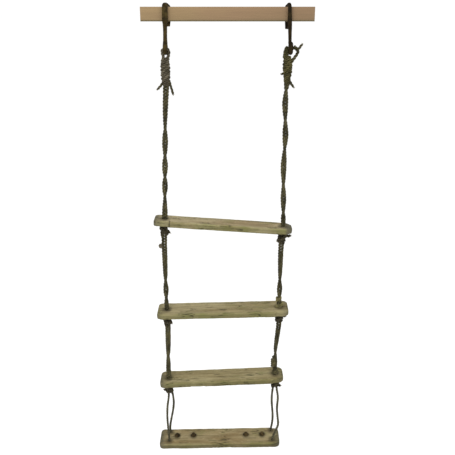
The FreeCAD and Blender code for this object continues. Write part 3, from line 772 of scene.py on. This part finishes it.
def make_knot(side, k):
    """Turns of rope round the pair under a rung, one part crossing over them, and the cut ends."""
    wide, turns, lean, start, cross = KNOTS[side, k]
    x, under = hole_x(side, k), -HALF_RUNG
    mesh = RopeMesh()
    route = []
    for i in range(int(turns * 8) + 1):
        turn = i / 8
        a = math.radians(start) + turn * 2 * math.pi
        swell = wide * (1 + 0.08 * math.sin(3.1 * turn + k))
        z = under - 0.0055 - 0.0098 * turn + lean * swell * math.cos(a)
        z = min(z, under - 0.0048)
        route.append(on_rung(k, x + swell * math.cos(a), swell * math.sin(a), z))
    mesh.lay(route, 0.0016, 500)
    route = [on_rung(k, x + u * cross, v, under + w) for u, v, w in CROSSING]
    mesh.lay(route, 0.0016, 500, phase=1.0, tone=0.6)
    for tail in TAILS[side, k]:
        route = [on_rung(k, x + u, v, w + under + 0.008) for u, v, w in tail]
        line = mesh.lay(route, 0.0016, 700, taper=(False, True))
        mesh.tuft(line[-1], line[-1] - line[-4], 40, 0.005)
    item = mesh.build(f"{side}_knot_{k}_rope", ROPE_LOW)
    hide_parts(f"{side}_knot_{k}")
    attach(item, f"step_{k}")


for side, k in KNOTS:
    make_knot(side, k)


# the small knot against the left pair: its centre, and the radius its turns follow
STOPPER = (-0.2331, -0.0630, -0.741)
STOPPER_R = 0.0050


def make_stopper():
    """A rope end wound up into a small ball against the left pair."""
    x, y, z = STOPPER
    route = []
    for i in range(25):
        tip = 0.9 * math.sin(i * 0.61)
        flat = math.sqrt(1 - tip**2)
        route.append((x + STOPPER_R * flat * math.cos(i * 1.9), y + STOPPER_R * flat * math.sin(i * 1.9),
                      z + STOPPER_R * tip))
    mesh = RopeMesh()
    mesh.lay(route, 0.0012, 300, 0.002, radius=0.0044, tone=0.65)
    item = mesh.build("left_stopper_rope", BUNDLE)
    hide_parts("left_stopper")
    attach(item, "span_2")


make_stopper()

# ------------------------------ eyes and seizings

# the eyes' bights through the hooks: x and z from one end to the other
EYES = {
    "left": [(-0.2015, -0.128), (-0.2005, -0.115), (-0.2028, -0.102), (-0.2060, -0.0890),
             (-0.2015, -0.0808), (-0.1885, -0.0808), (-0.1838, -0.0890), (-0.1862, -0.101),
             (-0.1895, -0.114), (-0.1900, -0.128)],
    "right": [(0.1835, -0.122), (0.1822, -0.104), (0.1825, -0.0915), (0.1836, -0.0862), (0.1874, -0.0818),
              (0.1920, -0.0808), (0.2045, -0.0800), (0.2130, -0.0788), (0.2208, -0.0838), (0.2212, -0.0930),
              (0.2140, -0.1045), (0.2045, -0.1168), (0.1980, -0.1280)],
}
# cut ends that stick out of the bundles: x and z
ENDS = {
    "left_end_outer": [(-0.2030, -0.178), (-0.2085, -0.1880), (-0.2155, -0.1975), (-0.2245, -0.2055)],
    "left_end_inner": [(-0.1860, -0.178), (-0.1830, -0.1920), (-0.1785, -0.2060), (-0.1748, -0.2215)],
    "right_end_upper": [(0.2175, -0.0885), (0.2235, -0.0805), (0.2290, -0.0735), (0.2335, -0.0675)],
    "right_end_lower": [(0.1965, -0.176), (0.2010, -0.1850), (0.2065, -0.1930), (0.2115, -0.1990)],
}
# turns of rope packed in beside the right hook's eye
SHOULDERS = [
    [(0.1800, -0.110), (0.1792, -0.098), (0.1802, -0.0880), (0.1832, -0.0795), (0.1880, -0.0735)],
    [(0.1865, -0.116), (0.1868, -0.103), (0.1866, -0.0910), (0.1872, -0.0800)],
    [(0.2075, -0.0730), (0.2125, -0.0765), (0.2170, -0.0815), (0.2190, -0.0890)],
]


def make_eye(side):
    """The bight through the hook's eye."""
    mesh = RopeMesh()
    route = [(x, ROPE_Y, z) for x, z in EYES[side]]
    line = mesh.lay(route, 0.0014, 500, 0.002, radius=EYE_R[side], tone=0.4)
    item = mesh.build(f"{side}_eye_rope", BUNDLE if side == "left" else ROPE)
    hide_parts(f"{side}_eye")
    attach(item, "span_1")


def make_end(name):
    """A cut end that sticks out of a seizing."""
    mesh = RopeMesh()
    route = [(x, ROPE_Y - 0.001, z) for x, z in ENDS[name]]
    line = mesh.lay(route, 0.0016, 500, 0.002, radius=END_R, taper=(False, True))
    mesh.tuft(line[-1], line[-1] - line[-4], 70, 0.004, 0.3)
    item = mesh.build(f"{name}_rope", ROPE)
    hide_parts(name)
    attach(item, "span_1")


def make_seizing(side):
    """Rope ends bound slantwise round the two legs below an eye."""
    outline = SEIZING[side][::-1]
    low, top = outline[0][0], outline[-1][0]
    mesh = RopeMesh()
    strands, pitch, depth, reach = 5, 0.066, 0.0066, 0.009
    steps = int((top - low) / 0.008) + 1
    for j in range(strands):
        route = []
        for z in np.linspace(low, top, steps + 1):
            left, right = (np.interp(z, [o[0] for o in outline], [o[i] for o in outline]) for i in (1, 2))
            a = 2 * math.pi * (j / strands + (z - low) / pitch)
            rough = 1 + 0.05 * math.sin(9 * a + j) + 0.04 * math.sin(j * 2.3 + 60 * z)
            half = (right - left) / 2 - ROPE_R * 0.95
            flat = depth * min(1, half / reach)
            middle = (left + right) / 2
            route.append((middle + half * rough * math.cos(a), ROPE_Y + flat * rough * math.sin(a), z))
        tone = (0.75, 0.3, 0.6, 0.15, 0.5)[j]
        mesh.lay(route, 0.0016, 500, 0.002, radius=0.0054, phase=j, taper=(True, True), tone=tone)
    if side == "right":
        turn = np.arange(44) / 10 * 2 * math.pi
        route = [(0.1822 + 0.0040 * a / 28 + 0.0062 * math.cos(a), ROPE_Y + 0.0062 * math.sin(a),
                  -0.1085 + 0.0047 * a / (2 * math.pi)) for a in turn]
        mesh.rope(nurbs_line(route, 0.0014), radius=0.0036, lay=0.018, tone=0.35)
        for shoulder in SHOULDERS:
            route = [(x, ROPE_Y - 0.002, z) for x, z in shoulder]
            mesh.lay(route, 0.0014, 500, 0.002, radius=0.0050, tone=0.3, taper=(True, True))
        nub = nurbs_line([(0.182, ROPE_Y - 0.004, -0.1560), (0.175, ROPE_Y - 0.004, -0.1572),
                          (0.1695, ROPE_Y - 0.004, -0.1578)], 0.0014)
        mesh.rope(nub, radius=0.0037, taper=(False, True))
        mesh.tuft(nub[-1], (-1, 0, -0.1), 30, 0.003, 0.4)
    item = mesh.build(f"{side}_seizing_rope", BUNDLE if side == "left" else MOSSY)
    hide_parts(f"{side}_seizing")
    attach(item, "span_1")


for side in SIDES:
    make_eye(side)
    make_seizing(side)
for name in ENDS:
    make_end(name)

# ------------------------------ the rungs


def smooth_noise(x, seed, scale):
    """Smooth one-dimensional noise from -1 to 1."""
    rng = np.random.default_rng(seed)
    table = rng.uniform(-1, 1, 4096)
    u = np.asarray(x, float) / scale + 1000.5
    i = np.floor(u).astype(int)
    f = u - i
    f = f * f * (3 - 2 * f)
    return table[i % 4096] * (1 - f) + table[(i + 1) % 4096] * f


# chips out of a board's long edges: start and end in X, how deep, and which edge
CHIPS = {
    1: [(-0.239, -0.186, 0.0060, "front"), (0.215, 0.239, 0.0050, "front"), (0.222, 0.239, 0.0060, "back")],
    2: [(0.186, 0.236, 0.0040, "front"), (-0.236, -0.222, 0.0020, "front")],
    3: [(-0.120, -0.060, 0.0020, "front"), (0.190, 0.232, 0.0025, "front")],
    4: [(-0.030, 0.050, 0.0015, "front"), (0.205, 0.234, 0.0030, "back")],
}
# how dirty a board's left and right ends are
END_DIRT = {1: (2.4, 4.5), 2: (0.8, 1.4), 3: (2.1, 0.9), 4: (2.6, 2.2)}
# corner radii at a board's left and right ends
CORNERS = {1: (0.018, 0.028), 2: (0.018, 0.024), 3: (0.020, 0.028), 4: (0.018, 0.020)}
# how far the rounding of a board's ends reaches, the radius of its long edges, and what they have lost
END_ROUND = 0.004
SOFT_EDGE = 0.0026
WEAR = 0.0003
# the dark crack beside the strip that has split off rung 1's front left edge
CRACK_X = -0.184


def sweep_faces(rings, count, clockwise):
    """Faces of a closed sweep of equal sections along X, clockwise or not, with its two ends."""
    faces = []
    for i in range(rings - 1):
        for j in range(count):
            a, b = i * count + j, i * count + (j + 1) % count
            faces.append((a, a + count, b + count, b) if clockwise else (a, b, b + count, a + count))
    first, last = range(count), range((rings - 1) * count, rings * count)
    if clockwise:
        last = reversed(last)
    else:
        first = reversed(first)
    return [*faces, tuple(first), tuple(last)]


def arc(y, z, radius, start):
    """Six points inside a quarter turn clockwise round a centre, from an angle in degrees."""
    turns = [math.radians(a) for a in np.linspace(start, start - 90, 8)[1:-1]]
    return [(y + radius * math.cos(a), z + radius * math.sin(a)) for a in turns]


def make_rung(k):
    """A weathered board: worn round edges, chipped and slightly wavy, bored for the ropes."""
    rung = RUNGS[k]
    half_l, half_d = rung["length"] / 2, rung["depth"] / 2
    stations = np.unique(np.concatenate([
        np.linspace(-half_l, half_l, 240),
        half_l - END_ROUND * (1 - np.cos(np.linspace(0, math.pi / 2, 9))),
        -half_l + END_ROUND * (1 - np.cos(np.linspace(0, math.pi / 2, 9))),
    ]))
    flat, wall = 24, 4
    points = []
    values = {"edge": [], "side": [], "end": [], "stain": [], "split": []}
    if k == 4:
        bores = [(*place, 0.0060) for place in FOOT_HOLES.values()]
        spots = [(x, BOLT_Y, 0.008, 0.010) for x in BOLT_X]
    else:
        bores = [(h, 0.0, 0.0098) for h in rung["holes"]]
        spots = []
    spots += [(x, y, r, 0.013) for x, y, r in bores]
    rings = []
    for x in stations:
        corner = CORNERS[k][x > 0]
        reach = max(0.0, abs(x) - (half_l - corner))
        round_off = corner - math.sqrt(max(corner**2 - reach**2, 0))
        end = min(1.0, (half_l - abs(x)) / END_ROUND)
        pinch = math.sqrt(max(0.0, 1 - (1 - end) ** 2))
        deep = {}
        for name, seed in (("front", 11 * k), ("back", 11 * k + 5)):
            wave = 0.0008 * smooth_noise(x, seed, 0.03) + 0.0004 * smooth_noise(x, seed + 1, 0.008)
            chip = 0.0
            for a, b, depth, where in CHIPS[k]:
                if where == name and a < x < b:
                    ease = min(1, (x - a) / 0.006, (b - x) / 0.006)
                    chip = depth * ease * (1 + 0.35 * float(smooth_noise(x, seed + 2, 0.007)))
            deep[name] = half_d - round_off + wave - chip - WEAR
        half_t = HALF_RUNG * (0.30 + 0.70 * pinch) + 0.0003 * smooth_noise(x, 7 * k, 0.04)
        soft = min(SOFT_EDGE, half_t * 0.9)
        y0, y1, zt = -deep["front"], deep["back"], float(half_t)
        outline = [(s, zt) for s in np.linspace(y0 + soft, y1 - soft, flat)]
        outline += arc(y1 - soft, zt - soft, soft, 90)
        outline += [(y1, s) for s in np.linspace(zt - soft, -zt + soft, wall)]
        outline += arc(y1 - soft, -zt + soft, soft, 0)
        outline += [(s, -zt) for s in np.linspace(y1 - soft, y0 + soft, flat)]
        outline += arc(y0 + soft, -zt + soft, soft, -90)
        outline += [(y0, s) for s in np.linspace(-zt + soft, zt - soft, wall)]
        outline += arc(y0 + soft, zt - soft, soft, 180)
        rings.append([(x, y, z) for y, z in outline])
    for ring in rings:
        for x, y, z in ring:
            dip = 0.00025 * float(smooth_noise(y, 31 * k, 0.004))
            dip += 0.0003 * float(smooth_noise(x + 9 * y, 5 * k, 0.02))
            points.append((x, y, z + math.copysign(dip, z)))
            near = min((-y + half_d) if y > 0 else (y + half_d), half_l - abs(x))
            front = 1.0 if y < 0 else 0.6
            values["edge"].append(front * max(0.0, 1 - max(near, 0) / 0.014))
            # side is the painted shade mask: 1 on the front face and the front half of the underside, 0 on
            # the top and at the back
            values["side"].append(max(0.0, min(1.0, (HALF_RUNG - 0.0008 - z) / 0.003)) if y < 0 else 0.0)
            values["end"].append(max(0.0, 1 - (half_l - abs(x)) / 0.030) * END_DIRT[k][x > 0])
            torn = k == 1 and x < -0.186 and y < -0.022
            values["split"].append(1.0 if torn and z > -0.003 else 0.0)
            stain = max(
                max(0.0, 1 - max(0.0, math.hypot(x - u, (y - v) * (0.7 if y < v else 1)) - r) / fade)
                for u, v, r, fade in spots
            )
            if k == 1 and abs(x - CRACK_X) < 0.0016 and y < -0.020:
                stain = 1.0
            values["stain"].append(stain)
    faces = sweep_faces(len(rings), len(rings[0]), True)
    item = new_mesh(f"rung_{k}_board", points, faces, [BOARDS[k]], values=values)
    for x, y, radius in bores:
        bore(item, x, y, radius)
    item.matrix_world = rung_matrix(k)
    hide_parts(f"rung_{k}")
    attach(item, f"step_{k}")


def bore(item, x, y, radius):
    """Cuts a slightly uneven hole through a board."""
    ring = []
    for j in range(40):
        a = j * math.pi / 20
        r = radius * (1 + 0.05 * math.sin(2 * a + x * 90) + 0.03 * math.sin(5 * a))
        ring.append((x + r * math.cos(a), y + r * math.sin(a)))
    points = [(u, v, z) for z in (-0.03, 0.03) for u, v in ring]
    faces = [(j, (j + 1) % 40, 40 + (j + 1) % 40, 40 + j) for j in range(40)]
    faces += [tuple(reversed(range(40))), tuple(range(40, 80))]
    drill = new_mesh("drill", points, faces, [])
    cut = item.modifiers.new("bore", "BOOLEAN")
    cut.operation, cut.solver, cut.object = "DIFFERENCE", "EXACT", drill
    apply(item)
    bpy.data.objects.remove(drill)


def apply(item):
    """Turns an object's modifiers into its mesh."""
    ready = item.evaluated_get(bpy.context.evaluated_depsgraph_get())
    mesh = bpy.data.meshes.new_from_object(ready)
    item.modifiers.clear()
    item.data = mesh


for k in RUNGS:
    make_rung(k)

# ------------------------------ bar, hooks, fittings


def make_bar():
    """The planed timber the hooks sit on, with painted shade along its lower front edge."""
    low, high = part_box("hanging_bar")
    xs = np.linspace(low.x, high.x, 60)
    section = []
    arris = 0.0015
    # extra rows low on the front face, to carry the painted shade along the lower edge
    shaded_rows = (0.012, 0.005, 0.0035)
    corners = ((high.y, high.z, 0), (low.y, high.z, 90), (low.y, low.z, 180), (high.y, low.z, 270))
    for cy, cz, start in corners:
        sy, sz = math.copysign(arris, cy), (arris if cz > 0.01 else -arris)
        if start == 180:
            section += [(low.y, z) for z in shaded_rows]
        for a in np.linspace(start, start + 90, 5):
            r = math.radians(a)
            section.append((cy - sy + arris * math.cos(r), cz - sz + arris * math.sin(r)))
    points = [(x, y, z) for x in xs for y, z in section]
    faces = sweep_faces(len(xs), len(section), False)
    # painted shade mask: strongest at the lower front arris and the front half of the underside, fading up
    # the front face to 15 mm
    edge = [float(np.interp(z, (0.002, 0.0036, 0.005, 0.012), (1.0, 0.85, 0.3, 0.2))) for _, _, z in points]
    edge = [e if y < 0 and z < 0.015 else 0.0 for e, (_, y, z) in zip(edge, points)]
    item = new_mesh("hanging_bar_timber", points, faces, [TIMBER], smooth=False, values={"edge": edge})
    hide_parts("hanging_bar")
    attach(item, "bar")


def node_copy(node, name):
    """A free copy of a CAD node's mesh, in the row frame."""
    source = next(o for o in bpy.data.objects if o.get("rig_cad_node") == node)
    item = add(name, source.data.copy())
    item.data.transform(source.matrix_world)
    return item


def forge(node, name, body, material, voxel, rough):
    """Rounds a CAD node's edges and hammers its surface."""
    item = node_copy(node, name)
    remesh = item.modifiers.new("remesh", "REMESH")
    remesh.mode, remesh.voxel_size = "VOXEL", voxel
    smooth = item.modifiers.new("smooth", "SMOOTH")
    smooth.factor, smooth.iterations = 0.5, 6
    apply(item)
    co = np.array([tuple(v.co) for v in item.data.vertices])
    normal = np.array([tuple(v.normal) for v in item.data.vertices])
    wave = np.zeros(len(co))
    for size, part in ((0.011, 0.6), (0.005, 0.4)):
        for axis in range(3):
            wave += part * smooth_noise(co[:, axis] + 0.4 * co[:, (axis + 1) % 3], 91 + axis, size)
    co = co + normal * (rough * wave / 2)[:, None]
    item.data.vertices.foreach_set("co", co.ravel())
    item.data.materials.clear()
    item.data.materials.append(material)
    item.data.polygons.foreach_set("use_smooth", [True] * len(item.data.polygons))
    item.data.update()
    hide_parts(node)
    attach(item, body)


make_bar()
for side in SIDES:
    forge(f"{side}_hook", f"{side}_hook_iron", "hooks", IRON[side], 0.0010, 0.0004)
for node in ("foot_bolts", "foot_nuts", "foot_washers"):
    forge(node, f"{node}_rusty", "step_4", RUST, 0.0005, 0.00012)

# ------------------------------ floor and light

bpy.ops.mesh.primitive_plane_add(size=600, location=(0, 100, -1.95))
floor = bpy.context.object
floor.name = "floor"
pale = Nodes("pale_floor")
floor.data.materials.append(pale.finish((0.975, 0.975, 0.975), 0.9, None, 0.0))

world = bpy.data.worlds.new("studio")
scene.world = world
world.use_nodes = True
world.node_tree.nodes["Background"].inputs["Color"].default_value = (1, 1, 1, 1)
world.node_tree.nodes["Background"].inputs["Strength"].default_value = 1.04


def area(name, place, target, size, power):
    """A soft area light that looks at a point."""
    lamp = bpy.data.lights.new(name, "AREA")
    lamp.shape, lamp.size, lamp.energy = "SQUARE", size, power
    item = add(name, lamp)
    item.location = place
    item.rotation_euler = (Vector(target) - Vector(place)).to_track_quat("-Z", "Y").to_euler()


area("key", (-1.2, -2.6, 1.6), (0, 0, -0.8), 1.8, 55)
area("fill", (1.8, -2.2, 0.2), (0, 0, -0.9), 2.0, 18)
scene.view_settings.view_transform = "Standard"

camera = add("camera", bpy.data.cameras.new("camera"))
camera.data.sensor_width = 36
camera.data.lens = 47.47
camera.location = (0, -2.011, 0.029)
camera.rotation_euler = (math.radians(70.2), 0, 0)
scene.camera = camera
